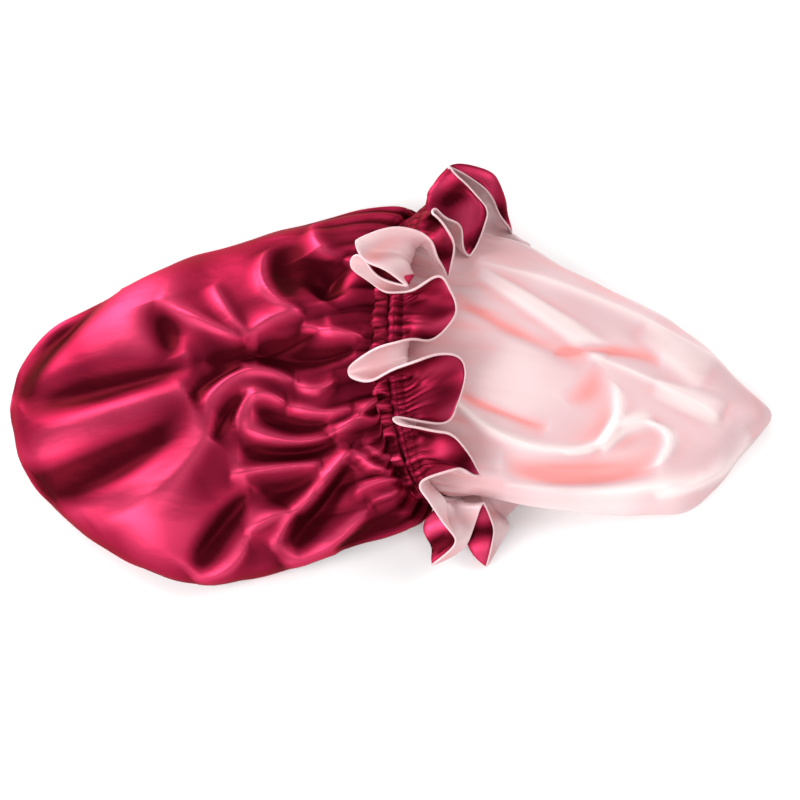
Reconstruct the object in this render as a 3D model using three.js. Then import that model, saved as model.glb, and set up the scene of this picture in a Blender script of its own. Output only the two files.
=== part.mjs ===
// A reversible satin sleep bonnet, lying on a table with its lining pulled out through the mouth.
// Two round layers of satin are sewn together along an elastic ring. The wine crown lies to the left
// of the ring, the pink lining crown to the right, and both layers run past the elastic as a frill.
// Millimetres, +X from the wine crown to the lining, +Y away from the viewer, +Z up from the table.
import * as THREE from 'three';

// Cloth
const WALL = 1.2;           // one layer of satin
const GAP = 0.3;            // clearance between pieces that are sewn together
const FRILL_GAP = 1.2;      // clearance between the frill's two layers, which tight folds bring nearer
const CASING_WIDTH = 10;    // the stitched channel that holds the elastic
const CASING_THICKNESS = 5;

// The elastic ring is a flat ellipse. Its upper arc leans to the left and its lower arc lies on the table.
const RING = { x: 21, y: 11, z: 30, halfLength: 100.4, lean: 29, rise: 22 };

// Each row is one cross-section of a crown, from its closed end to the row beside the ring.
// side: X of its two edges. lean: how far its top is to the left of them. near, far: Y of the edges.
// top, edge, base: heights. flatness: 0 for a round underside, 1 for one that lies flat.
const CROWN_SECTIONS = [
  { side: -251, lean: 0, near: -32, far: -6, top: 13, edge: 11, base: 9, flatness: 0.0 },
  { side: -246, lean: 0, near: -56, far: 11, top: 23, edge: 11, base: 3, flatness: 0.5 },
  { side: -231, lean: 0, near: -82, far: 32, top: 34, edge: 11, base: -5, flatness: 1.0 },
  { side: -206, lean: 0, near: -108, far: 50, top: 43, edge: 11, base: -5, flatness: 1.0 },
  { side: -176, lean: 0, near: -127, far: 66, top: 49, edge: 11, base: -5, flatness: 1.0 },
  { side: -146, lean: 1, near: -140, far: 84, top: 53, edge: 12, base: -5, flatness: 1.0 },
  { side: -117, lean: 3, near: -141, far: 93, top: 55, edge: 12, base: -5, flatness: 1.0 },
  { side: -88, lean: 5, near: -135, far: 104, top: 56, edge: 13, base: -5, flatness: 1.0 },
  { side: -59, lean: 9, near: -126, far: 112, top: 56, edge: 14, base: -4, flatness: 0.9 },
  { side: -31, lean: 14, near: -116, far: 118, top: 55, edge: 17, base: -2, flatness: 0.7 },
  { side: -8, lean: 20, near: -106, far: 120, top: 53, edge: 21, base: 1, flatness: 0.5 },
  { side: 8, lean: 25, near: -98, far: 117, top: 51, edge: 26, base: 3, flatness: 0.2 },
];
const LINING_SECTIONS = [
  { side: 239, lean: 0, near: -28, far: -18, top: 12, edge: 10, base: 8, flatness: 0.0 },
  { side: 232, lean: 0, near: -39, far: -8, top: 19, edge: 10, base: 3, flatness: 0.5 },
  { side: 219, lean: 0, near: -54, far: 5, top: 27, edge: 10, base: -5, flatness: 1.0 },
  { side: 203, lean: 0, near: -75, far: 19, top: 33, edge: 10, base: -5, flatness: 1.0 },
  { side: 184, lean: 1, near: -89, far: 38, top: 38, edge: 10, base: -5, flatness: 1.0 },
  { side: 160, lean: 3, near: -94, far: 55, top: 43, edge: 11, base: -5, flatness: 1.0 },
  { side: 134, lean: 5, near: -94, far: 70, top: 47, edge: 12, base: 1, flatness: 0.9 },
  { side: 106, lean: 9, near: -94, far: 82, top: 51, edge: 20, base: 8, flatness: 0.7 },
  { side: 78, lean: 15, near: -93, far: 92, top: 53, edge: 27, base: 16, flatness: 0.4 },
  { side: 51, lean: 21, near: -90, far: 99, top: 53, edge: 32, base: 16, flatness: 0.2 },
];

// Folds on the upper side. Each runs from one plan point to another, bowed sideways by bend at its middle.
// rise is above zero for a ridge and below zero for a valley, and width is half the fold's breadth.
const CROWN_FOLDS = [
  { x0: -240, y0: -34, x1: -45, y1: 9, bend: 0, rise: -10, width: 14 },
  { x0: -201, y0: 13, x1: -65, y1: 41, bend: 0, rise: 6, width: 24 },
  { x0: -205, y0: -95, x1: -112, y1: -20, bend: 4, rise: -9, width: 14 },
  { x0: -208, y0: -109, x1: -71, y1: -10, bend: 5, rise: 9, width: 11 },
  { x0: -136, y0: -145, x1: -45, y1: -70, bend: 13, rise: -10, width: 12 },
  { x0: -130, y0: -150, x1: -29, y1: -59, bend: -6, rise: 9, width: 10 },
  { x0: -76, y0: -138, x1: -32, y1: -77, bend: 0, rise: -7, width: 9 },
  { x0: -78, y0: -140, x1: 8, y1: -93, bend: 0, rise: 5, width: 9 },
  { x0: -86, y0: 80, x1: -62, y1: 36, bend: 0, rise: -9, width: 13 },
  { x0: -65, y0: 95, x1: -4, y1: 100, bend: 0, rise: 4, width: 12 },
];
const LINING_FOLDS = [
  { x0: 60, y0: 61, x1: 213, y1: -13, bend: 14, rise: 6, width: 9 },
  { x0: 60, y0: -10, x1: 105, y1: -20, bend: 0, rise: 5, width: 22 },
  { x0: 118, y0: 4, x1: 208, y1: -37, bend: 8, rise: 6, width: 10 },
  { x0: 40, y0: -30, x1: 122, y1: -34, bend: -18, rise: 6, width: 9 },
  { x0: 92, y0: -70, x1: 158, y1: -72, bend: -2, rise: -8, width: 10 },
  { x0: 66, y0: -80, x1: 222, y1: -58, bend: -14, rise: 7, width: 11 },
];

// Gathers along the elastic. reach is how many grid rings they take to die away.
const CROWN_GATHER = { rings: 14, pleats: 19, depth: 3.4, reach: 5 };
const LINING_GATHER = { rings: 12, pleats: 15, depth: 2.6, reach: 4 };
const SAMPLES_PER_PLEAT = 4;

// The view that the bonnet is measured in: the viewer looks along +Y and down on the table.
// u runs to the right and v downwards, in pixels, and the table's middle is at u, v here.
const VIEW = { elevation: 65, u: 400, v: 390, millimetresPerPixel: 0.65 };

// Where the frill's hem turns where it is seen, in order round the ring: from its far end over the upper
// arc to its near end. at: place of the turn's root on the ring in degrees. u, v: the turn's place in the
// view. toward: how much nearer to the viewer the hem is than its root, in millimetres.
const SEEN_TURNS = [
  { at: -26, u: 519, v: 238, toward: -10 },
  { at: -17, u: 507, v: 206, toward: -4 },
  { at: -8, u: 486, v: 178, toward: 3 },
  { at: 0, u: 459, v: 165, toward: 8 },
  { at: 5, u: 455, v: 172, toward: 16 },
  { at: 12, u: 484, v: 205, toward: 14 },
  { at: 17, u: 484, v: 226, toward: 12 },
  { at: 22, u: 469, v: 256, toward: 13 },
  { at: 26, u: 461, v: 228, toward: 20 },
  { at: 30, u: 436, v: 210, toward: 20 },
  { at: 33, u: 432, v: 218, toward: 27 },
  { at: 36, u: 450, v: 233, toward: 26 },
  { at: 41, u: 449, v: 262, toward: 17 },
  { at: 46, u: 446, v: 279, toward: 15 },
  { at: 51, u: 430, v: 243, toward: 24 },
  { at: 56, u: 396, v: 230, toward: 24 },
  { at: 61, u: 358, v: 245, toward: 14 },
  { at: 66, u: 378, v: 270, toward: 22 },
  { at: 70, u: 412, v: 290, toward: 26 },
  { at: 74, u: 445, v: 286, toward: 14 },
  { at: 80, u: 455, v: 316, toward: 10 },
  { at: 86, u: 436, v: 337, toward: 14 },
  { at: 91, u: 400, v: 342, toward: 28 },
  { at: 96, u: 362, v: 357, toward: 18 },
  { at: 100, u: 350, v: 374, toward: 8 },
  { at: 104, u: 372, v: 379, toward: 18 },
  { at: 109, u: 415, v: 362, toward: 28 },
  { at: 113, u: 452, v: 355, toward: 16 },
  { at: 117, u: 464, v: 372, toward: 6 },
  { at: 122, u: 456, v: 405, toward: 4 },
  { at: 126, u: 443, v: 423, toward: 12 },
  { at: 130, u: 396, v: 417, toward: 26 },
  { at: 134, u: 406, v: 427, toward: 26 },
  { at: 139, u: 450, v: 434, toward: 16 },
  { at: 146, u: 478, v: 474, toward: 6 },
  { at: 152, u: 456, v: 469, toward: 20 },
  { at: 157, u: 424, v: 482, toward: 24 },
  { at: 162, u: 432, v: 504, toward: 22 },
  { at: 168, u: 453, v: 536, toward: 12 },
  { at: 174, u: 441, v: 560, toward: -4 },
  { at: 181, u: 461, v: 552, toward: -8 },
  { at: 185, u: 476, v: 514, toward: 12 },
  { at: 189, u: 488, v: 514, toward: 8 },
  { at: 195, u: 489, v: 562, toward: -8 },
  { at: 202, u: 500, v: 546, toward: -10 },
  { at: 211, u: 507, v: 514, toward: -8 },
];

// The rest of the hem, back underneath. flare: degrees that it is turned outwards from the ring's axis.
// sweep: degrees that it leans sideways along the ring. reach: how far it is from its root.
const HIDDEN_TURNS = [
  { at: 225, flare: 62, sweep: 4, reach: 37 },
  { at: 240, flare: 54, sweep: 0, reach: 38 },
  { at: 255, flare: 61, sweep: 0, reach: 37 },
  { at: 270, flare: 54, sweep: 0, reach: 38 },
  { at: 285, flare: 61, sweep: 0, reach: 37 },
  { at: 300, flare: 54, sweep: 0, reach: 38 },
  { at: 314, flare: 64, sweep: -10, reach: 37 },
  { at: 325, flare: 58, sweep: -24, reach: 37 },
];
const HEM_TURNS = [...SEEN_TURNS, ...HIDDEN_TURNS];
const FRILL_REACH = 40;     // the frill's depth from its root to its hem
const SAMPLES_PER_TURN = 2;
const FRILL_ROWS = 3;
const FRILL_SPRING = 12;    // how far the frill keeps the casing's direction before it turns to its hem
const CASING_SAMPLES = 72;

const WINE_SATIN = new THREE.MeshStandardMaterial({ color: 0x9c1b42, roughness: 0.34, metalness: 0 });
const PINK_SATIN = new THREE.MeshStandardMaterial({ color: 0xf3c4c4, roughness: 0.36, metalness: 0 });
const GATHERED_SATIN = new THREE.MeshStandardMaterial({ color: 0x8c173a, roughness: 0.42, metalness: 0 });

const radians = THREE.MathUtils.degToRad;

// The value of one column at place t, from 0 at the first row to 1 at the last, on a Catmull-Rom curve.
function columnAt(rows, column, t) {
  const place = Math.min(Math.max(t, 0), 1) * (rows.length - 1);
  const i = Math.min(Math.floor(place), rows.length - 2);
  const f = place - i;
  const value = (k) => rows[Math.min(Math.max(k, 0), rows.length - 1)][column];
  const [a, b, c, d] = [value(i - 1), value(i), value(i + 1), value(i + 2)];
  return b + 0.5 * f * (c - a + f * (2 * a - 5 * b + 4 * c - d + f * (3 * (b - c) + d - a)));
}

// Where the elastic lies at an angle of the ring, with the ring's outward and axial directions and the
// directions along and across the casing there. axial points to the lining's side.
function ringFrame(angle) {
  const slant = Math.hypot(RING.lean, RING.rise);
  const upward = new THREE.Vector3(-RING.lean, 0, RING.rise).divideScalar(slant);
  const along = new THREE.Vector3(0, 1, 0);
  const axial = new THREE.Vector3(RING.rise, 0, RING.lean).divideScalar(slant);
  const place = new THREE.Vector3(RING.x, RING.y, RING.z)
    .addScaledVector(along, RING.halfLength * Math.cos(angle))
    .addScaledVector(upward, slant * Math.sin(angle));
  const outward = new THREE.Vector3()
    .addScaledVector(along, slant * Math.cos(angle))
    .addScaledVector(upward, RING.halfLength * Math.sin(angle))
    .normalize();
  const tangent = new THREE.Vector3().crossVectors(axial, outward);
  const flare = casingFlare(angle);
  return {
    place, outward, axial, tangent,
    forward: flareDirection(outward, axial, flare),
    across: flareDirection(outward, axial, flare + Math.PI / 2),
  };
}

// A direction in the plane of the ring's axis: 0 is along the axis and a right angle is straight outwards.
function flareDirection(outward, axial, flare) {
  return new THREE.Vector3()
    .addScaledVector(axial, Math.cos(flare))
    .addScaledVector(outward, Math.sin(flare));
}

// The casing leans over the lining on the upper arc, opens at the ends and lies flat underneath.
function casingFlare(angle) {
  const up = Math.sin(angle);
  return radians(30 - 39.5 * up - 15.5 * up * up);
}

// One cross-section: round above its edge, and flattened on the table below it.
function sectionPoint(rows, t, angle) {
  const value = (column) => columnAt(rows, column, t);
  const up = Math.sin(angle);
  const middle = (value('near') + value('far')) / 2;
  const half = (value('far') - value('near')) / 2;
  const under = Math.abs(up) ** (1 - 0.55 * value('flatness'));
  const height = up >= 0 ? (value('top') - value('edge')) * up : (value('base') - value('edge')) * under;
  return new THREE.Vector3(
    value('side') - value('lean') * up,
    middle + half * Math.cos(angle),
    value('edge') + height,
  );
}

// The summed height of the folds over a plan point. Each is a bell across its line, faded at both ends.
function foldHeight(folds, x, y) {
  return folds.reduce((sum, fold) => {
    const [dx, dy] = [fold.x1 - fold.x0, fold.y1 - fold.y0];
    const length = Math.hypot(dx, dy);
    const along = ((x - fold.x0) * dx + (y - fold.y0) * dy) / length ** 2;
    if (along <= 0 || along >= 1) return sum;
    const bow = 4 * fold.bend * along * (1 - along);
    const aside = ((y - fold.y0) * dx - (x - fold.x0) * dy) / length - bow;
    return sum + fold.rise * Math.sin(Math.PI * along) ** 0.7 * Math.exp(-((aside / fold.width) ** 2));
  }, 0);
}

// Turns a closed grid of points, pole first and then ring by ring, into a cloth wall with an open mouth.
// The inner side lies one wall in from the outer, along the surface's own normals.
function clothBag(pole, rings, spokes) {
  const outer = [pole, ...rings.flat()];
  const at = (ring, spoke) => 1 + ring * spokes + ((spoke + spokes) % spokes);
  const faces = [];
  for (let j = 0; j < spokes; j += 1) faces.push([0, at(0, j), at(0, j + 1)]);
  for (let i = 0; i + 1 < rings.length; i += 1) {
    for (let j = 0; j < spokes; j += 1) {
      faces.push([at(i, j), at(i + 1, j), at(i + 1, j + 1)], [at(i, j), at(i + 1, j + 1), at(i, j + 1)]);
    }
  }
  const normals = vertexNormals(outer, faces);
  const inner = outer.map((point, i) => point.clone().addScaledVector(normals[i], -WALL));
  const count = outer.length;
  const last = rings.length - 1;
  const all = faces.concat(faces.map(([a, b, c]) => [a + count, c + count, b + count]));
  for (let j = 0; j < spokes; j += 1) {
    const [a, b] = [at(last, j), at(last, j + 1)];
    all.push([a, a + count, b + count], [a, b + count, b]);
  }
  return solidGeometry(outer.concat(inner), all);
}

// Area-weighted normals of a grid of triangles.
function vertexNormals(points, faces) {
  const normals = points.map(() => new THREE.Vector3());
  for (const face of faces) {
    const [a, b, c] = face.map((i) => points[i]);
    const normal = new THREE.Vector3().crossVectors(b.clone().sub(a), c.clone().sub(a));
    face.forEach((i) => normals[i].add(normal));
  }
  return normals.map((normal) => normal.normalize());
}

// A geometry from points and triangles, turned over if its faces point inwards.
function solidGeometry(points, faces) {
  const volume = faces.reduce((sum, [a, b, c]) => (
    sum + points[a].dot(new THREE.Vector3().crossVectors(points[b], points[c]))), 0);
  const outward = volume > 0 ? faces : faces.map(([a, b, c]) => [a, c, b]);
  const geometry = new THREE.BufferGeometry();
  geometry.setAttribute('position', new THREE.Float32BufferAttribute(points.flatMap((p) => p.toArray()), 3));
  geometry.setIndex(outward.flat());
  geometry.computeVertexNormals();
  return geometry;
}

// A crown: its lofted sections with their folds, then two rings that seat it on the casing.
// seat gives the seat's points from a ring frame, first the one beside the section table. turn is the way
// round that keeps the grid facing outwards: 1 for a crown that closes on the right, -1 on the left.
function crownGeometry(sections, folds, gather, seat, turn) {
  const spokes = gather.pleats * SAMPLES_PER_PLEAT;
  const lofted = gather.rings - 2;
  const rings = [];
  for (let i = 0; i < gather.rings; i += 1) {
    const ring = [];
    for (let j = 0; j < spokes; j += 1) {
      const angle = turn * (2 * Math.PI * j) / spokes;
      const pleat = Math.cos((2 * Math.PI * j) / SAMPLES_PER_PLEAT);
      if (i >= lofted) {
        ring.push(seat(ringFrame(angle), i - lofted, pleat));
        continue;
      }
      const t = i / (lofted - 1);
      const point = sectionPoint(sections, t, angle);
      const fade = Math.max(0, 1 - (lofted - 1 - i) / gather.reach);
      const swell = 1 + gather.depth * fade * pleat / Math.hypot(RING.lean, RING.rise);
      const middle = sectionPoint(sections, t, 0).add(sectionPoint(sections, t, Math.PI)).multiplyScalar(0.5);
      const waved = point.clone().sub(middle).multiply(new THREE.Vector3(swell, 1, swell)).add(middle);
      const upper = Math.max(0, Math.sin(angle));
      waved.z += foldHeight(folds, point.x, point.y) * Math.sqrt(upper);
      waved.z = Math.max(waved.z, 0);
      ring.push(waved);
    }
    rings.push(ring);
  }
  const first = rings[0];
  const pole = first.reduce((sum, p) => sum.add(p), new THREE.Vector3()).divideScalar(first.length);
  pole.x += Math.sign(pole.x) * 1.5;
  return clothBag(pole, rings, spokes);
}

// The wine crown's mouth butts against the outer half of the casing's root.
function crownSeat(frame, step, pleat) {
  const back = step === 0 ? 9 : GAP + 0.1;
  const lift = step === 0 ? 2.2 + 1.8 * pleat : 1.7 + 0.5 * pleat;
  return frame.place.clone().addScaledVector(frame.forward, -back).addScaledVector(frame.across, lift);
}

// The lining turns back along the casing's inner face before it leaves through the mouth.
function liningSeat(frame, step, pleat) {
  const forward = step === 0 ? 9.5 : 0.8;
  const depth = CASING_THICKNESS / 2 + GAP + (step === 0 ? 1.6 - 1.2 * pleat : 0.3 - 0.25 * pleat);
  return frame.place.clone().addScaledVector(frame.forward, forward).addScaledVector(frame.across, -depth);
}

// The casing: a flat gathered band carried round the ring.
function casingGeometry() {
  const points = [];
  const faces = [];
  for (let j = 0; j < CASING_SAMPLES; j += 1) {
    const frame = ringFrame((2 * Math.PI * j) / CASING_SAMPLES);
    const half = CASING_THICKNESS / 2 - 0.4 * (j % 2);
    for (const [forward, across] of [[0, half], [CASING_WIDTH, half], [CASING_WIDTH, -half], [0, -half]]) {
      const place = frame.place.clone().addScaledVector(frame.forward, forward);
      points.push(place.addScaledVector(frame.across, across));
    }
    const next = (j + 1) % CASING_SAMPLES;
    for (let k = 0; k < 4; k += 1) {
      const [a, b] = [4 * j + k, 4 * j + ((k + 1) % 4)];
      const [c, d] = [4 * next + ((k + 1) % 4), 4 * next + k];
      faces.push([a, b, c], [a, c, d]);
    }
  }
  return solidGeometry(points, faces);
}

// Where the frill leaves the casing.
function frillRoot(frame) {
  return frame.place.clone().addScaledVector(frame.forward, CASING_WIDTH + FRILL_GAP);
}

// The hem at a turn that is seen: over its place in the view, and never further off than the frill is deep.
function seenHem({ at, u, v, toward }) {
  const root = frillRoot(ringFrame(radians(at)));
  const tilt = radians(VIEW.elevation);
  const upInView = new THREE.Vector3(0, Math.sin(tilt), Math.cos(tilt));
  const toViewer = new THREE.Vector3(0, -Math.cos(tilt), Math.sin(tilt));
  const right = (u - VIEW.u) * VIEW.millimetresPerPixel;
  const up = (VIEW.v - v) * VIEW.millimetresPerPixel;
  return new THREE.Vector3(right - root.x, 0, 0)
    .addScaledVector(upInView, up - root.dot(upInView))
    .addScaledVector(toViewer, toward)
    .clampLength(0, FRILL_REACH)
    .add(root);
}

// The hem at a turn underneath.
function hiddenHem({ at, flare, sweep, reach }) {
  const frame = ringFrame(radians(at));
  const direction = flareDirection(frame.outward, frame.axial, radians(flare));
  return frillRoot(frame)
    .addScaledVector(direction, reach * Math.cos(radians(sweep)))
    .addScaledVector(frame.tangent, reach * Math.sin(radians(sweep)));
}

function hemPoint(turn) {
  return turn.flare === undefined ? seenHem(turn) : hiddenHem(turn);
}

// The hem between two turns, on a Catmull-Rom curve through all of them.
function hemBetween(turn, blend) {
  const count = HEM_TURNS.length;
  const [a, b, c, d] = [-1, 0, 1, 2].map((k) => hemPoint(HEM_TURNS[(turn + k + count) % count]));
  const curve = (p, q, r, s, f) => (
    q + 0.5 * f * (r - p + f * (2 * p - 5 * q + 4 * r - s + f * (3 * (q - r) + s - p))));
  return new THREE.Vector3(
    curve(a.x, b.x, c.x, d.x, blend),
    curve(a.y, b.y, c.y, d.y, blend),
    curve(a.z, b.z, c.z, d.z, blend),
  );
}

// One layer of the frill: the frill's middle surface moved to one side of itself, and given its wall.
// The middle surface bends from the casing's direction at its root to the hem, on a quadratic curve.
function frillGeometry(side) {
  const columns = HEM_TURNS.length * SAMPLES_PER_TURN;
  const rows = FRILL_ROWS + 1;
  const middle = [];
  const roots = [];
  for (let j = 0; j < columns; j += 1) {
    const turn = Math.floor(j / SAMPLES_PER_TURN);
    const blend = (j % SAMPLES_PER_TURN) / SAMPLES_PER_TURN;
    const next = HEM_TURNS[(turn + 1) % HEM_TURNS.length];
    const span = (next.at - HEM_TURNS[turn].at + 360) % 360;
    const frame = ringFrame(radians(HEM_TURNS[turn].at + span * blend));
    const root = frillRoot(frame);
    const spring = root.clone().addScaledVector(frame.forward, FRILL_SPRING);
    const hem = hemBetween(turn, blend);
    for (let i = 0; i < rows; i += 1) {
      const across = i / FRILL_ROWS;
      middle.push(root.clone().multiplyScalar((1 - across) ** 2)
        .addScaledVector(spring, 2 * across * (1 - across))
        .addScaledVector(hem, across ** 2));
    }
    roots.push(frame.across);
  }
  const at = (column, row) => ((column + columns) % columns) * rows + row;
  const skin = [];
  for (let j = 0; j < columns; j += 1) {
    for (let i = 0; i + 1 < rows; i += 1) {
      skin.push([at(j, i), at(j + 1, i), at(j + 1, i + 1)], [at(j, i), at(j + 1, i + 1), at(j, i + 1)]);
    }
  }
  const normals = vertexNormals(middle, skin);
  roots.forEach((across, j) => { normals[at(j, 0)] = across; });
  const layer = (distance) => middle.map((p, i) => p.clone().addScaledVector(normals[i], side * distance));
  const points = layer(FRILL_GAP / 2).concat(layer(FRILL_GAP / 2 + WALL));
  const count = middle.length;
  const faces = skin.concat(skin.map(([a, b, c]) => [a + count, c + count, b + count]));
  for (let j = 0; j < columns; j += 1) {
    for (const row of [0, FRILL_ROWS]) {
      const ends = [at(j, row), at(j + 1, row)];
      const [a, b] = row === 0 ? ends.reverse() : ends;
      faces.push([a, b, b + count], [a, b + count, a + count]);
    }
  }
  return solidGeometry(points, faces);
}

function piece(name, geometry, material) {
  const mesh = new THREE.Mesh(geometry, material);
  mesh.name = name;
  return mesh;
}

const bonnet = new THREE.Group();
bonnet.name = 'sleep_bonnet';
bonnet.add(piece('outer_crown',
  crownGeometry(CROWN_SECTIONS, CROWN_FOLDS, CROWN_GATHER, crownSeat, -1), WINE_SATIN));
bonnet.add(piece('lining_crown',
  crownGeometry(LINING_SECTIONS, LINING_FOLDS, LINING_GATHER, liningSeat, 1), PINK_SATIN));
bonnet.add(piece('elastic_casing', casingGeometry(), GATHERED_SATIN));
bonnet.add(piece('outer_frill', frillGeometry(1), WINE_SATIN));
bonnet.add(piece('lining_frill', frillGeometry(-1), PINK_SATIN));

// The origin is on the table under the middle of the whole outline.
const outline = new THREE.Box3().setFromObject(bonnet);
const middle = outline.getCenter(new THREE.Vector3());
bonnet.children.forEach((mesh) => mesh.geometry.translate(-middle.x, -middle.y, -outline.min.z));

export default bonnet;
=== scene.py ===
"""A reversible satin sleep bonnet lying on a table, its pink lining pulled out through the mouth.

Shapes are worked out in the table's coordinates, in millimetres: +X from the wine crown to the lining,
+Y away from the viewer and +Z up. They are then moved into the frame's coordinates, in metres.
"""

import logging
from dataclasses import dataclass
from enum import Enum
from typing import Any, NamedTuple

import bpy
import numpy as np
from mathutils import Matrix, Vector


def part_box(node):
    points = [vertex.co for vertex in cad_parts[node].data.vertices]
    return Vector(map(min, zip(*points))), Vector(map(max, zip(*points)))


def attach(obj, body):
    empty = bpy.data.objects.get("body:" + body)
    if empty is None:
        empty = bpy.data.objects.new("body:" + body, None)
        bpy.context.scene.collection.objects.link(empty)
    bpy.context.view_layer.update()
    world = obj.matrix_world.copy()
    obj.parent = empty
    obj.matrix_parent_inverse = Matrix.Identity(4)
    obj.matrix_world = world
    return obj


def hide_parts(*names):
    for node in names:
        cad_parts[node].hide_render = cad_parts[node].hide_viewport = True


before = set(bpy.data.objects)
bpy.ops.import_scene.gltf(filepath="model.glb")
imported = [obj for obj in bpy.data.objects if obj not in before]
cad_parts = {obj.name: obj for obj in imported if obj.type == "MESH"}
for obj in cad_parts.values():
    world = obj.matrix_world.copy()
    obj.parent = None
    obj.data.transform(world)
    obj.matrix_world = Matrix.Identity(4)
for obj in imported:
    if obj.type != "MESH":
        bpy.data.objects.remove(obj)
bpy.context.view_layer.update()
LOG = logging.getLogger("sleep_bonnet")
Array = np.ndarray
METRES = 0.001
PUCKER_COUNT = 99
PUCKER_LEVEL = 0.6


class Side(Enum):
    """Which of the frill's two layers a piece is."""

    WINE = 1.0
    PINK = -1.0


@dataclass(frozen=True)
class View:
    """The photograph's view: it looks along +Y and down on the table, with u to the right and v down."""

    elevation: float = 65.0
    middle_u: float = 400.0
    middle_v: float = 390.0
    mouth_u: float = 432.0
    millimetres_per_pixel: float = 0.65
    picture_middle: float = 400.0
    lens: float = 300.0
    sensor: float = 36.0
    picture_width: float = 800.0

    def up(self) -> Array:
        """The direction that points up in the picture."""
        tilt = np.radians(self.elevation)
        return np.array([0.0, np.sin(tilt), np.cos(tilt)])

    def to_viewer(self) -> Array:
        """The direction from the table to the viewer."""
        tilt = np.radians(self.elevation)
        return np.array([0.0, -np.cos(tilt), np.sin(tilt)])

    def pixels(self, points: Array) -> tuple[Array, Array]:
        """Where points are seen.

        Args:
            points: places in millimetres, with X, Y and Z on the last axis.

        Returns:
            Their u and v in pixels.
        """
        u = self.middle_u + points[..., 0] / self.millimetres_per_pixel
        v = self.middle_v - points @ self.up() / self.millimetres_per_pixel
        return u, v

    def distance(self) -> float:
        """How far the camera stands off, in metres, for the picture's scale."""
        width = self.picture_width * self.millimetres_per_pixel * METRES
        return width * self.lens / self.sensor


VIEW = View()


class Section(NamedTuple):
    """One cross-section of a crown, in millimetres.

    side is the X of its two edges and lean how far its top is to the left of them. near and far are the
    edges' Y. top, edge and base are heights. flatness is 0 for a round underside and 1 for a flat one.
    """

    side: float
    lean: float
    near: float
    far: float
    top: float
    edge: float
    base: float
    flatness: float


class Fold(NamedTuple):
    """One fold: where the view shows its start, middle and end, in pixels, and its size in millimetres.

    rise is above zero for a ridge and below zero for a valley, width is half its breadth, and point is
    1 for a sharp top and 2 for a round one.
    """

    start: tuple[float, float]
    middle: tuple[float, float]
    end: tuple[float, float]
    rise: float
    width: float
    point: float = 1.4

    def height(self, u: Array, v: Array) -> Array:
        """The fold's height over each place: a bell across its bowed line, narrower towards the mouth.

        Args:
            u: places in the view, in pixels to the right.
            v: places in the view, in pixels downwards.

        Returns:
            Heights in millimetres.
        """
        along_u, along_v = self.end[0] - self.start[0], self.end[1] - self.start[1]
        length = np.hypot(along_u, along_v)
        middle_u = self.middle[0] - (self.start[0] + self.end[0]) / 2
        middle_v = self.middle[1] - (self.start[1] + self.end[1]) / 2
        bend = (middle_v * along_u - middle_u * along_v) / length
        du, dv = u - self.start[0], v - self.start[1]
        place = np.clip((du * along_u + dv * along_v) / length**2, 0.0, 1.0)
        aside = (dv * along_u - du * along_v) / length - 4 * bend * place * (1 - place)
        inwards = abs(self.end[0] - VIEW.mouth_u) < abs(self.start[0] - VIEW.mouth_u)
        nearness = place if inwards else 1 - place
        breadth = np.abs(aside) * VIEW.millimetres_per_pixel / (self.width * (1.25 - 0.5 * nearness))
        fade = np.sin(np.pi * place) ** (0.4 + 0.04 * self.width)
        return self.rise * fade * np.exp(-(breadth**self.point))


class Gather(NamedTuple):
    """One tier of the gathers that run from the elastic into a crown.

    count is the number round the ring, depth their height, decay how far they reach and seen how much of
    them is left where the named folds take over.
    """

    count: int
    depth: float
    decay: float
    seen: float


class Turn(NamedTuple):
    """A turn of the frill's hem that the view shows.

    at is the place of its root on the ring in degrees, u and v its place in pixels, and toward how much
    nearer to the viewer the hem is than its root, in millimetres. The cloth on its way to the hem swells
    by swell_u to the right and swell_v down, in pixels.
    """

    at: float
    u: float
    v: float
    toward: float
    swell_u: float = 0.0
    swell_v: float = 0.0


class HiddenTurn(NamedTuple):
    """A turn of the hem underneath.

    at is the place of its root on the ring, flare how far it leans out from the ring's axis and sweep how
    far it turns along the ring, all in degrees. reach is its length in millimetres.
    """

    at: float
    flare: float
    sweep: float
    reach: float


WINE_SECTIONS = (
    Section(-251, 0, -32, -6, 13, 11, 9, 0.0),
    Section(-246, 0, -54, 11, 23, 11, 3, 0.5),
    Section(-231, 0, -78, 32, 34, 11, -5, 1.0),
    Section(-206, 0, -103, 50, 43, 11, -5, 1.0),
    Section(-176, 0, -123, 66, 49, 11, -5, 1.0),
    Section(-146, 1, -138, 84, 53, 12, -5, 1.0),
    Section(-117, 3, -141, 93, 55, 12, -5, 1.0),
    Section(-88, 5, -135, 104, 56, 13, -5, 1.0),
    Section(-59, 9, -126, 112, 56, 14, -4, 0.9),
    Section(-31, 14, -118, 118, 55, 17, -2, 0.7),
    Section(-8, 20, -111, 120, 53, 21, 1, 0.5),
    Section(8, 25, -104, 117, 51, 26, 3, 0.2),
)
PINK_SECTIONS = (
    Section(239, 0, -28, -18, 12, 10, 8, 0.0),
    Section(232, 0, -36, -10, 19, 10, 3, 0.5),
    Section(219, 0, -49, 2, 26, 10, -5, 1.0),
    Section(203, 0, -73, 21, 33, 10, -5, 1.0),
    Section(184, 1, -89, 38, 38, 10, -5, 1.0),
    Section(160, 3, -92, 52, 43, 11, -5, 1.0),
    Section(134, 5, -92, 67, 47, 12, 1, 0.9),
    Section(106, 9, -93, 79, 51, 20, 8, 0.7),
    Section(78, 15, -93, 92, 53, 27, 16, 0.4),
    Section(51, 21, -90, 99, 53, 32, 16, 0.2),
)
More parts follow.
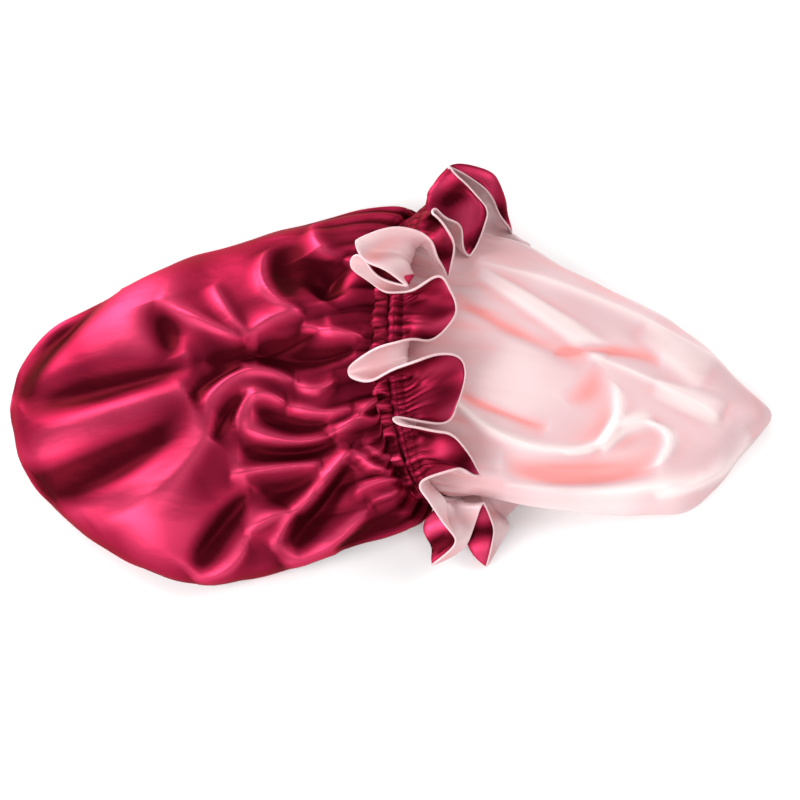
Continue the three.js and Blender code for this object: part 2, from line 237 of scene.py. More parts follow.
WINE_FOLDS = (
    Fold((12, 409), (92, 387), (206, 361), -9, 11, 2.0),
    Fold((190, 358), (255, 352), (330, 325), -8, 9),
    Fold((14, 400), (48, 342), (122, 292), -6, 8, 1.8),
    Fold((70, 345), (140, 300), (205, 268), 7, 26, 2.0),
    Fold((158, 305), (168, 330), (178, 356), -6, 12, 2.0),
    Fold((160, 303), (200, 322), (248, 340), 4, 5, 1.2),
    Fold((212, 285), (228, 312), (250, 336), 2.5, 4),
    Fold((266, 248), (266, 288), (300, 313), 5, 5, 1.2),
    Fold((288, 235), (288, 268), (296, 300), -8, 15, 2.0),
    Fold((316, 250), (322, 272), (332, 300), -9, 13, 2.0),
    Fold((310, 224), (318, 246), (345, 256), 3, 6),
    Fold((322, 300), (330, 280), (350, 262), -5, 8, 1.6),
    Fold((245, 342), (270, 322), (305, 314), 4, 6),
    Fold((302, 326), (325, 332), (365, 338), 4, 4, 1.2),
    Fold((258, 352), (310, 356), (355, 350), -6, 8, 1.6),
    Fold((98, 526), (162, 492), (220, 412), 4, 10),
    Fold((205, 405), (245, 374), (300, 384), 6, 6, 1.2),
    Fold((190, 396), (212, 378), (246, 364), -5, 7),
    Fold((296, 384), (318, 391), (336, 380), 4, 5, 1.2),
    Fold((6, 494), (98, 468), (196, 413), -10, 14, 2.6),
    Fold((30, 438), (100, 416), (195, 386), 3, 11, 1.8),
    Fold((215, 440), (228, 415), (250, 392), -5, 7, 1.5),
    Fold((238, 428), (252, 398), (290, 405), 4, 5, 1.2),
    Fold((288, 404), (318, 413), (352, 408), 3.5, 4, 1.2),
    Fold((255, 412), (285, 422), (330, 424), -4, 7, 1.5),
    Fold((245, 424), (285, 440), (335, 435), 4.5, 4.5, 1.2),
    Fold((330, 436), (355, 420), (378, 398), 4.5, 5, 1.2),
    Fold((240, 450), (290, 452), (340, 445), -5, 7, 1.5),
    Fold((232, 474), (275, 467), (322, 462), 4, 4, 1.2),
    Fold((196, 566), (232, 518), (256, 486), -8, 9, 1.5),
    Fold((250, 488), (285, 490), (322, 475), -6, 10, 1.6),
    Fold((194, 575), (230, 563), (252, 528), 4, 5, 1.2),
    Fold((248, 530), (275, 514), (300, 508), 4, 5, 1.2),
    Fold((296, 510), (325, 480), (352, 447), 7, 6, 1.2),
    Fold((274, 548), (290, 518), (318, 492), 3, 3.5, 1.2),
    Fold((352, 447), (368, 462), (392, 472), 4, 4, 1.2),
    Fold((292, 548), (325, 505), (352, 466), -8, 8, 1.5),
    Fold((282, 560), (325, 543), (372, 502), 6, 6),
    Fold((368, 503), (390, 493), (414, 492), 3, 5),
    Fold((335, 548), (372, 528), (410, 512), -3, 6, 1.5),
    Fold((356, 490), (382, 480), (412, 483), 2.5, 3, 1.2),
    Fold((362, 440), (384, 456), (420, 452), 3, 3.5, 1.2),
    Fold((120, 540), (160, 510), (205, 478), 5, 24, 2.0),
)
PINK_FOLDS = (
    Fold((476, 261), (604, 304), (744, 380), 3, 3.4, 1.3),
    Fold((500, 246), (598, 278), (706, 356), -1.4, 7, 2.5),
    Fold((478, 272), (540, 312), (606, 356), 3.4, 6, 4.0),
    Fold((452, 296), (520, 334), (586, 362), -2.6, 5, 1.8),
    Fold((462, 404), (515, 384), (568, 356), 4, 24, 4.0),
    Fold((450, 398), (512, 440), (592, 447), 5, 3.6, 1.3),
    Fold((558, 452), (600, 443), (614, 384), 5, 3.6, 1.3),
    Fold((455, 392), (505, 414), (545, 428), -3, 4, 1.6),
    Fold((598, 450), (622, 426), (652, 420), 4, 6, 2.5),
    Fold((638, 420), (665, 434), (652, 466), 4, 3.6, 1.3),
    Fold((500, 462), (580, 475), (656, 462), -6, 9, 2.4),
    Fold((500, 482), (600, 487), (700, 476), 3, 4.5, 1.6),
    Fold((480, 500), (580, 503), (690, 488), 3, 10, 3.0),
    Fold((650, 494), (712, 472), (748, 434), 4, 5, 1.5),
    Fold((640, 330), (672, 354), (706, 378), 3, 9, 4.0),
    Fold((650, 388), (688, 402), (722, 414), 3, 8, 4.0),
    Fold((552, 352), (605, 350), (660, 362), -3, 4, 1.8),
    Fold((588, 356), (650, 382), (716, 418), 2.6, 3.4, 1.3),
    Fold((560, 400), (588, 388), (600, 366), -2.5, 9, 2.0),
)
WINE_GATHERS = (
    Gather(46, 4.4, 32, 0.9),
    Gather(23, 4.2, 56, 0.5),
    Gather(13, 3.2, 110, 0.1),
)
PINK_GATHERS = (
    Gather(40, 1.5, 32, 0.8),
    Gather(21, 2.2, 55, 0.3),
    Gather(11, 2.4, 100, 0.1),
)
SEEN_TURNS = (
    Turn(-26, 516, 238, -8, 6, -4), Turn(-17, 500, 212, 8, 16, -16), Turn(-8, 483, 187, 12, 17, -19),
    Turn(0, 454, 169, 14, 8, -14), Turn(5, 453, 172, 18, -6, -8), Turn(12, 484, 205, 14, -20, -8),
    Turn(17, 484, 226, 12, -18, -6), Turn(22, 468, 257, 13, -8, 0),
    Turn(26, 457, 226, 20), Turn(30, 437, 210, 22), Turn(33, 432, 217, 27), Turn(36, 452, 232, 25),
    Turn(41, 453, 252, 18), Turn(46, 446, 279, 15), Turn(50, 430, 243, 24), Turn(54, 398, 229, 24),
    Turn(58, 357, 242, 22), Turn(61, 370, 263, 28), Turn(63, 408, 287, 30), Turn(65, 382, 280, 22),
    Turn(67, 357, 258, 12), Turn(69, 354, 271, 8), Turn(71, 386, 290, 10), Turn(73, 412, 291, 22),
    Turn(75, 438, 278, 20), Turn(77, 450, 291, 14),
    Turn(80, 455, 316, 10), Turn(86, 436, 337, 14), Turn(91, 400, 342, 28), Turn(96, 362, 357, 18),
    Turn(100, 350, 374, 8), Turn(104, 372, 379, 18), Turn(109, 415, 362, 28), Turn(113, 452, 355, 16),
    Turn(117, 464, 372, 6), Turn(122, 456, 405, 4), Turn(126, 443, 423, 12), Turn(130, 396, 417, 26),
    Turn(134, 406, 427, 26), Turn(139, 450, 434, 16), Turn(146, 478, 474, 6), Turn(152, 456, 469, 20),
    Turn(157, 422, 480, 24), Turn(162, 429, 500, 22), Turn(168, 454, 537, 12),
    Turn(174, 434, 561, -2, -11, -2),
    Turn(181, 463, 545, -8), Turn(185, 478, 506, 12), Turn(189, 484, 504, 8),
    Turn(193, 492, 530, 2, -6), Turn(197, 487, 563, -8, -16, 2), Turn(204, 505, 528, -10),
    Turn(211, 507, 514, -8),
)
HIDDEN_TURNS = (
    HiddenTurn(225, 62, 4, 37), HiddenTurn(240, 54, 0, 38), HiddenTurn(255, 61, 0, 37),
    HiddenTurn(270, 54, 0, 38), HiddenTurn(285, 61, 0, 37), HiddenTurn(300, 54, 0, 38),
    HiddenTurn(314, 64, -10, 37), HiddenTurn(325, 58, -24, 37),
)


def catmull_rom(rows: Array, places: Array, closed: bool = False) -> Array:
    """Values between rows, on the Catmull-Rom curve through them all.

    Args:
        rows: one row of values for each whole place, on the first axis.
        places: the places wanted, counted in rows.
        closed: whether the last row is followed by the first.

    Returns:
        One row of values for each place.
    """
    count = len(rows)
    first = np.floor(places).astype(int)
    if not closed:
        first = np.clip(first, 0, count - 2)
    f = (places - first).reshape((-1,) + (1,) * (rows.ndim - 1))
    picks = [first + step for step in (-1, 0, 1, 2)]
    picks = [pick % count if closed else np.clip(pick, 0, count - 1) for pick in picks]
    a, b, c, d = (rows[pick] for pick in picks)
    return b + 0.5 * f * (c - a + f * (2 * a - 5 * b + 4 * c - d + f * (3 * (b - c) + d - a)))


def unit(vectors: Array) -> Array:
    """Vectors made one long."""
    return vectors / np.maximum(np.linalg.norm(vectors, axis=-1, keepdims=True), 1e-9)


def ramp(values: Array, low: float, high: float) -> Array:
    """A smooth step from 0 at low to 1 at high: 3t² - 2t³."""
    t = np.clip((values - low) / (high - low), 0.0, 1.0)
    return t * t * (3 - 2 * t)


def running_length(speed: Array) -> Array:
    """The length covered at each of many even steps, from the speeds there."""
    return np.concatenate([[0.0], np.cumsum((speed[1:] + speed[:-1]) / 2)])


def smoothed(values: Array, rounds: int) -> Array:
    """Values on a grid that closes along its second axis, averaged with their neighbours in each round."""
    for _ in range(rounds):
        values = (np.roll(values, 1, axis=1) + 2 * values + np.roll(values, -1, axis=1)) / 4
        rows = np.concatenate([values[:1], values, values[-1:]])
        values = (rows[:-2] + 2 * rows[1:-1] + rows[2:]) / 4
    return values


def grid_normals(grid: Array) -> Array:
    """Normals of a grid that closes along its second axis: the cross product of its two slopes."""
    across = np.roll(grid, -1, axis=1) - np.roll(grid, 1, axis=1)
    return unit(np.cross(across, np.gradient(grid, axis=0)))


def ripples(points: Array, wavelength: float, seed: int, count: int = 7) -> Array:
    """Soft unevenness: the mean of plane waves in seeded directions, between about -1 and 1.

    Args:
        points: places in millimetres.
        wavelength: the waves' length in millimetres.
        seed: picks the directions and phases.
        count: the number of waves.

    Returns:
        One height for each place.
    """
    random = np.random.default_rng(seed)
    directions = unit(random.normal(size=(count, points.shape[-1])))
    stretch = random.uniform(0.75, 1.35, count)
    phases = random.uniform(0, 2 * np.pi, count)
    waves = np.cos(points @ (directions * stretch[:, None]).T * 2 * np.pi / wavelength + phases)
    return waves.sum(axis=-1) / np.sqrt(count)


def puckers(turn: Array, drift: Array | float = 0.0) -> Array:
    """The elastic's gathers round the ring: the mean of |cos| at an uneven count and at a third of it.

    Args:
        turn: how far round the ring, from 0 to 2 pi.
        drift: a turn of the pattern, for gathers that wander.

    Returns:
        Heights from about 0 to 1, with PUCKER_LEVEL as their middle.
    """
    uneven = 5.0 * np.sin(2 * turn + 0.7) + 3.0 * np.sin(5 * turn + 2.0) + 1.4 * np.sin(11 * turn + drift)
    fine = np.abs(np.cos((PUCKER_COUNT * turn + uneven + drift) / 2)) ** 0.8
    broad = np.abs(np.cos((PUCKER_COUNT // 3 * turn + uneven + 0.6 * drift) / 2)) ** 0.8
    strength = 0.8 + 0.35 * np.sin(9 * turn + 1.3 + 0.5 * drift) + 0.3 * np.sin(23 * turn)
    return PUCKER_LEVEL + (0.5 * fine + 0.5 * broad - PUCKER_LEVEL) * strength


class RingFrames(NamedTuple):
    """Places on the elastic ring, with the directions there.

    outward and axial are the ring's own, forward and across lie along and across the casing's width.
    """

    place: Array
    outward: Array
    axial: Array
    tangent: Array
    forward: Array
    across: Array

    def flared(self, degrees: Array) -> Array:
        """Directions from the ring's axis at 0 degrees to straight outwards at 90."""
        angle = np.radians(np.asarray(degrees, dtype=float))[..., None]
        return self.axial * np.cos(angle) + self.outward * np.sin(angle)


@dataclass(frozen=True)
class Ring:
    """The elastic ring: a flat ellipse whose upper arc leans to the left, in a gathered casing.

    side_flare is the casing's flare in degrees at the ring's near and far ends. flare_slope and flare_bow
    take it from there to the top and the bottom. cad_ridge and cad_groove are half the plain casing's
    thickness.
    """

    centre: tuple[float, float, float] = (21.0, 11.0, 30.0)
    half_length: float = 100.4
    lean: float = 29.0
    rise: float = 22.0
    casing_width: float = 10.0
    casing_thickness: float = 5.0
    side_flare: float = 30.0
    flare_slope: float = 39.5
    flare_bow: float = 15.5
    turn_steps: int = 2001
    cad_samples: int = 72
    cad_ridge: float = 2.5
    cad_groove: float = 2.1

    def frames(self, angle: Array) -> RingFrames:
        """The ring at angles in radians: its centre plus half its length and slant by cosine and sine."""
        slant = np.hypot(self.lean, self.rise)
        upward = np.array([-self.lean, 0.0, self.rise]) / slant
        along = np.array([0.0, 1.0, 0.0])
        axial = np.array([self.rise, 0.0, self.lean]) / slant
        cosine, sine = np.cos(angle)[:, None], np.sin(angle)[:, None]
        place = np.array(self.centre) + along * self.half_length * cosine + upward * slant * sine
        outward = unit(along * slant * cosine + upward * self.half_length * sine)
        flare = np.radians(self.side_flare - self.flare_slope * sine - self.flare_bow * sine**2)
        forward = axial * np.cos(flare) + outward * np.sin(flare)
        across = -axial * np.sin(flare) + outward * np.cos(flare)
        axials = np.broadcast_to(axial, place.shape)
        return RingFrames(place, outward, axials, np.cross(axials, outward), forward, across)

    def turn(self, angle: Array) -> Array:
        """How far round the ring an angle is by length, from 0 to 2 pi."""
        steps = np.linspace(0, 2 * np.pi, self.turn_steps)
        slant = np.hypot(self.lean, self.rise)
        speed = np.hypot(self.half_length * np.sin(steps), slant * np.cos(steps))
        length = running_length(speed)
        return np.interp(angle % (2 * np.pi), steps, length / length[-1] * 2 * np.pi)

    def shift(self) -> Array:
        """The step from the table's coordinates to the frame's, found from the plain casing's box."""
        frames = self.frames(2 * np.pi * np.arange(self.cad_samples) / self.cad_samples)
        half = np.where(np.arange(self.cad_samples) % 2 == 0, self.cad_ridge, self.cad_groove)[:, None]
        corners = np.concatenate([
            frames.place + frames.forward * forward + frames.across * half * side
            for forward in (0.0, self.casing_width) for side in (-1.0, 1.0)
        ])
        low, high = (np.array(corner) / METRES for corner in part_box("elastic_casing"))
        return (low + high - corners.min(axis=0) - corners.max(axis=0)) / 2


RING = Ring()
SHIFT = RING.shift()


class Cloth:
    """Grids of cloth made into Blender meshes."""

    @staticmethod
    def mesh(
        name: str, grid: Array, flat: Array, painted_light: Array, pole: Array | None = None
    ) -> bpy.types.Object:
        """A mesh from a grid that closes along its second axis.

        Args:
            name: the object's name.
            grid: rows by columns of places in millimetres, in the table's coordinates.
            flat: rows by columns plus one of places on the flat cut, in millimetres, for the weave.
            painted_light: rows by columns from -1 for painted shade in a fold's hollow to 1 for a painted
                highlight on its top, for its colour.
            pole: a point that closes the first row, if it has one.

        Returns:
            The object, at the origin, with its faces pointing out where it has a pole.
        """
        rows, columns = grid.shape[:2]
        points = grid.reshape(-1, 3)
        row, column = np.meshgrid(np.arange(rows - 1), np.arange(columns), indexing="ij")
        corners = np.stack([
            np.stack([row, column], -1), np.stack([row + 1, column], -1),
            np.stack([row + 1, column + 1], -1), np.stack([row, column + 1], -1),
        ], axis=2).reshape(-1, 4, 2)
        quads = corners[..., 0] * columns + corners[..., 1] % columns
        cut = flat[corners[..., 0], corners[..., 1]]
        faces = quads.tolist()
        loops = cut.reshape(-1, 2)
        if pole is not None:
            tip = len(points)
            points = np.concatenate([points, pole[None]])
            painted_light = np.append(painted_light.ravel(), painted_light[0].mean())
            around = np.arange(columns)
            fan = np.stack([np.full(columns, tip), around, (around + 1) % columns], -1)
            faces += fan.tolist()
            centre = np.broadcast_to(flat[0, :-1].mean(axis=0), (columns, 2))
            fan_cut = np.stack([centre, flat[0, :-1], flat[0, 1:]], 1).reshape(-1, 2)
            loops = np.concatenate([loops, fan_cut])
        mesh = bpy.data.meshes.new(name)
        mesh.from_pydata(((points + SHIFT) * METRES).tolist(), [], faces)
        layer = mesh.uv_layers.new(name="flat_cut")
        layer.data.foreach_set("uv", (loops * METRES).astype(np.float32).ravel())
        # Painted shade and highlight, stored on each point for the material's colour.
        heights = mesh.attributes.new("painted_light", "FLOAT", "POINT")
        heights.data.foreach_set("value", painted_light.astype(np.float32).ravel())
        mesh.polygons.foreach_set("use_smooth", np.ones(len(mesh.polygons), dtype=bool))
        if pole is not None and Cloth.volume(points, faces) < 0:
            mesh.flip_normals()
        mesh.update()
        piece = bpy.data.objects.new(name, mesh)
        bpy.context.scene.collection.objects.link(piece)
        return piece

    @staticmethod
    def volume(points: Array, faces: list[list[int]]) -> float:
        """The signed volume under faces, each taken as a fan about its first corner."""
        total = 0.0
        for corners in (4, 3):
            some = np.array([face for face in faces if len(face) == corners])
            for step in range(1, corners - 1):
                a, b, c = points[some[:, 0]], points[some[:, step]], points[some[:, step + 1]]
                total += float(np.einsum("ij,ij->i", a, np.cross(b, c)).sum()) / 6
        return total

    @staticmethod
    def thicken(piece: bpy.types.Object, thickness: float, offset: float) -> None:
        """Give a piece its wall, in millimetres: offset is -1 for inwards and 0 for both ways."""
        wall = piece.modifiers.new("wall", "SOLIDIFY")
        wall.thickness = thickness * METRES
        wall.offset = offset
        wall.use_rim = True


@dataclass
class Crown:
    """One round of satin, gathered on the elastic into a bag that lies on the table."""

    name: str
    slot: str
    sections: tuple[Section, ...]
    folds: tuple[Fold, ...]
    gathers: tuple[Gather, ...]
    cut_radius: float
    seed: int
    wall: float = 0.6
    spokes: int = 340
    rings: int = 142
    mouth_share: float = 0.35
    upper_share: float = 3.5
    pole_reach: float = 1.5
    unevenness: float = 1.0
    fold_scale: float = 1.0
    # Painted light: the fold height and crease that give full painted shade or highlight, then the painted
    # shade near the mouth and how far it reaches.
    painted_light_height: float = 6.5
    painted_light_crease: float = 1.5
    mouth_shade: float = 0.7
    shade_reach: float = 75.0
    pucker_depth: float = 1.8
    pucker_reach: float = 12.0
    ridge_level: float = 0.62
    broad_ripples: float = 62.0
    fine_ripples: float = 27.0
    seen_slope: float = 0.45
    pole_fade: float = 14.0
    clearance: float = 0.3
    local_rounds: int = 26
    angle_steps: int = 4001
    curve_places: int = 1200

    def seats(self, frames: RingFrames) -> list[Array]:
        """The rows that seat the crown on the casing, nearest the crown first."""
        raise NotImplementedError

    def angles(self) -> Array:
        """Spoke angles, even along a middle section's outline but closer on the upper side."""
        steps = np.linspace(0, 2 * np.pi, self.angle_steps)
        middle = self.sections[len(self.sections) * 2 // 3]
        half = (middle.far - middle.near) / 2
        speed = np.hypot(half * np.sin(steps), (middle.top - middle.edge) * np.cos(steps))
        speed *= np.where(steps < np.pi, self.upper_share, 1.0)
        length = running_length(speed)
        return np.interp(np.arange(self.spokes) / self.spokes, length / length[-1], steps)

    def outline(self, angle: Array) -> Array:
        """The sections as rings: an ellipse above the edge, and below it a base flattened on the table."""
        table = np.array(self.sections)[:, :, None]
        side, lean, near, far, top, edge, base, flatness = (table[:, k] for k in range(8))
        up = np.sin(angle)[None]
        under = np.abs(up) ** (1 - 0.55 * flatness)
        height = np.where(up >= 0, (top - edge) * up, (base - edge) * under)
        x = side - lean * up
        y = (near + far) / 2 + (far - near) / 2 * np.cos(angle)[None]
        return np.stack([x, y, np.maximum(edge + height, 0.0)], axis=-1)

    def smooth_surface(self, angle: Array) -> tuple[Array, Array]:
        """The crown before its folds: a curve through pole, sections and seats, closer at the mouth.

        Args:
            angle: the spokes' angles.

        Returns:
            The grid from the pole to the mouth, and each row's distance from the mouth.
        """
        outline = self.outline(angle)
        tip = outline[0].mean(axis=0)
        tip = tip + np.array([np.sign(tip[0]) * self.pole_reach, 0.0, 0.0])
        pole = np.broadcast_to(tip, outline[0].shape)
        control = np.stack([pole, *outline, *self.seats(RING.frames(angle))])
        places = np.linspace(0, len(control) - 1, self.curve_places)
        fine = catmull_rom(control, places)
        steps = np.linalg.norm(np.diff(fine, axis=0), axis=-1).mean(axis=1)
        length = np.concatenate([[0.0], np.cumsum(steps)])
        share = np.linspace(0, 1, self.rings + 1)
        wanted = length[-1] * (share + self.mouth_share * share * (1 - share))
        return catmull_rom(control, np.interp(wanted, length, places)), length[-1] - wanted

    def gathering(self, angle: Array, distance: Array, seen: Array) -> Array:
        """Gathers: the elastic's puckers, then wider ridges |cos| that wander and die away from the seam."""
        turn = RING.turn(angle)[None]
        away = distance[:, None]
        pull = np.exp(-((away / self.pucker_reach) ** 1.2)) * (0.7 + 0.3 * ramp(away, 0, 6))
        total = self.pucker_depth * (puckers(turn, away / 9) - PUCKER_LEVEL) * pull * np.ones_like(seen)
        for tier, gather in enumerate(self.gathers):
            random = np.random.default_rng(self.seed + tier)
            a, b, c, d = random.uniform(0, 2 * np.pi, 4)
            wander = 1.6 * np.sin(3 * turn + a) + 1.1 * np.sin(7 * turn + b + away / 55)
            wander = wander + 0.9 * np.sin(away / gather.decay + c + 2 * turn)
            ridge = np.abs(np.cos((gather.count * turn + wander) / 2)) ** 0.8
            strength = 0.75 + 0.35 * np.sin(5 * turn + d) + 0.25 * np.sin(13 * turn + a - away / 30)
            fade = np.exp(-((away / gather.decay) ** 1.3)) * ramp(away, -2, 9)
            share = 1 - (1 - gather.seen) * seen
            total += gather.depth * strength * (ridge - self.ridge_level) * fade * share
        return total

    def surface(self) -> tuple[Array, Array, Array]:
        """The finished surface: the smooth one moved along its normals by folds, gathers and unevenness.

        Returns:
            The grid with its pole row, its places on the flat cut, and its painted light from -1 for painted
            shade to 1 for a painted highlight.
        """
        angle = self.angles()
        grid, distance = self.smooth_surface(angle)
        normals = grid_normals(grid)
        middle = grid.mean(axis=1, keepdims=True)
        normals *= np.sign(np.sum(normals * (grid - middle)))
        seen = ramp(normals @ VIEW.to_viewer(), 0.0, self.seen_slope)
        seen[0] = seen[1]
        u, v = VIEW.pixels(grid)
        gains = [np.clip(1.6 - 0.06 * fold.width, 0.75, 1.3) for fold in self.folds]
        move = sum(fold.height(u, v) * gain for fold, gain in zip(self.folds, gains))
        move = move * seen * self.fold_scale
        move = move + self.gathering(angle, distance, seen)
        rough = 0.9 * ripples(grid, self.broad_ripples, self.seed + 10)
        rough = rough + 0.4 * ripples(grid, self.fine_ripples, self.seed + 11)
        move = move + self.unevenness * rough * ramp(distance, 4, 40)[:, None] * (1 - 0.8 * seen)
        move *= ramp(distance[0] - distance, 0, self.pole_fade)[:, None]
        grid = grid + normals * move[..., None]
        grid[..., 2] = np.maximum(grid[..., 2], self.clearance)
        # Painted light for the colour: painted shade in valleys and creases, a painted highlight on ridges,
        # and painted shade near the mouth.
        local = move - smoothed(move, self.local_rounds)
        shaded = self.mouth_shade * np.exp(-((distance[:, None] / self.shade_reach) ** 2))
        painted_light = move / self.painted_light_height + local / self.painted_light_crease - shaded
        return grid, self.flat_cut(angle, distance), np.clip(painted_light, -1, 1)

    def flat_cut(self, angle: Array, distance: Array) -> Array:
        """Places on the round that the crown was cut from: its radius by cosine and sine."""
        around = np.append(RING.turn(angle), 2 * np.pi)
        radius = (distance[0] - distance)[:, None] / distance[0] * self.cut_radius
        return np.stack([radius * np.cos(around), radius * np.sin(around)], axis=-1)

    def build(self, finish: "Satin") -> bpy.types.Object:
        """Make the crown's mesh, dress it, hang it on the root body and hide the plain part."""
        grid, flat, painted_light = self.surface()
        tip = grid[0].mean(axis=0)
        piece = Cloth.mesh(self.name + "_cloth", grid[1:], flat[1:], painted_light[1:], pole=tip)
        Cloth.thicken(piece, self.wall, -1.0)
        piece.data.materials.append(finish.material())
        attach(piece, "root")
        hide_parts(self.name)
        return piece


@dataclass
class WineCrown(Crown):
    """The wine crown, whose mouth laps over the back of the casing."""

    def seats(self, frames: RingFrames) -> list[Array]:
        """Rows behind the casing and over its edge, where the crown is stitched down."""
        return [frames.place - frames.forward * back + frames.across * lift
                for back, lift in ((8.0, 4.8), (0.8, 3.3), (-1.2, 2.3))]


@dataclass
class PinkCrown(Crown):
    """The lining crown, which turns back along the casing's inner face before it leaves the mouth."""

    def seats(self, frames: RingFrames) -> list[Array]:
        """Two rows under the casing's inner face."""
        return [frames.place + frames.forward * forward - frames.across * depth
                for forward, depth in ((9.5, 4.2), (0.8, 3.1))]


@dataclass
class Casing:
    """The gathered channel that holds the elastic: a flat tube, thinner at the frill, puckered all round."""

    name: str = "elastic_casing"
    slot: str = "gathered_satin"
    pucker_depth: float = 1.3
    fullness: float = 0.4
    inner_share: float = 0.3
    taper: float = 0.5
    around: int = 736
    section_points: int = 24
    edge_round: float = 0.8
    face_round: float = 0.9
    stitch_place: float = 3.6
    stitch_width: float = 0.7
    groove_depth: float = 0.15
    taper_start: float = 3.0
    # Painted light: painted highlight and shade from the puckers, and a lift towards highlight.
    painted_light_scale: float = 1.4
    painted_light_lift: float = 0.1
    flat_radius: float = 75.0
    flat_half: float = 5.0

    def build(self, finish: "Satin") -> bpy.types.Object:
        """Make the tube: a rounded oblong section whose thickness swells with each pucker."""
        angle = 2 * np.pi * np.arange(self.around) / self.around
        frames = RING.frames(angle)
        turn = RING.turn(angle)[None]
        section = 2 * np.pi * np.arange(self.section_points + 1)[:, None] / self.section_points
        round_off = np.sign(np.cos(section)) * np.abs(np.cos(section)) ** self.edge_round
        width = RING.casing_width / 2 * round_off
        face = np.sign(np.sin(section)) * np.abs(np.sin(section)) ** self.face_round
        from_stitch = (np.abs(width) - self.stitch_place) / self.stitch_width
        groove = np.exp(-(from_stitch**2)) * self.groove_depth
        wander = 0.7 * np.sin(31 * turn + 0.4) + 0.5 * np.sin(53 * turn + 2.0)
        forward = RING.casing_width / 2 + width + wander
        drift = 0.7 * np.sin(forward / 3.1 + 9 * turn) + 0.4 * np.sin(forward / 1.9 - 17 * turn)
        pucker = puckers(turn, drift) - PUCKER_LEVEL
        taper = self.taper * ramp(forward, self.taper_start, RING.casing_width)
        half = self.fullness + RING.casing_thickness / 2 * (1 - taper)
        depth = self.pucker_depth * np.where(face > 0, 1.0, self.inner_share)
        across = face * (half - groove + depth * pucker)
        grid = (frames.place[None] + frames.forward[None] * forward[..., None]
                + frames.across[None] * across[..., None])
        length = np.append(turn[0], 2 * np.pi) * self.flat_radius
        flat = np.stack(np.broadcast_arrays(length[None], section * self.flat_half), axis=-1)
        # Painted light for the colour: a painted highlight on each pucker's top and painted shade in its
        # hollows.
        painted_light = np.clip(self.painted_light_scale * pucker + self.painted_light_lift, -1, 1)
        painted_light = np.broadcast_to(painted_light, grid.shape[:2])
        piece = Cloth.mesh(self.name + "_cloth", grid, flat, painted_light)
        piece.data.materials.append(finish.material())
        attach(piece, "root")
        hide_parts(self.name)
        return piece


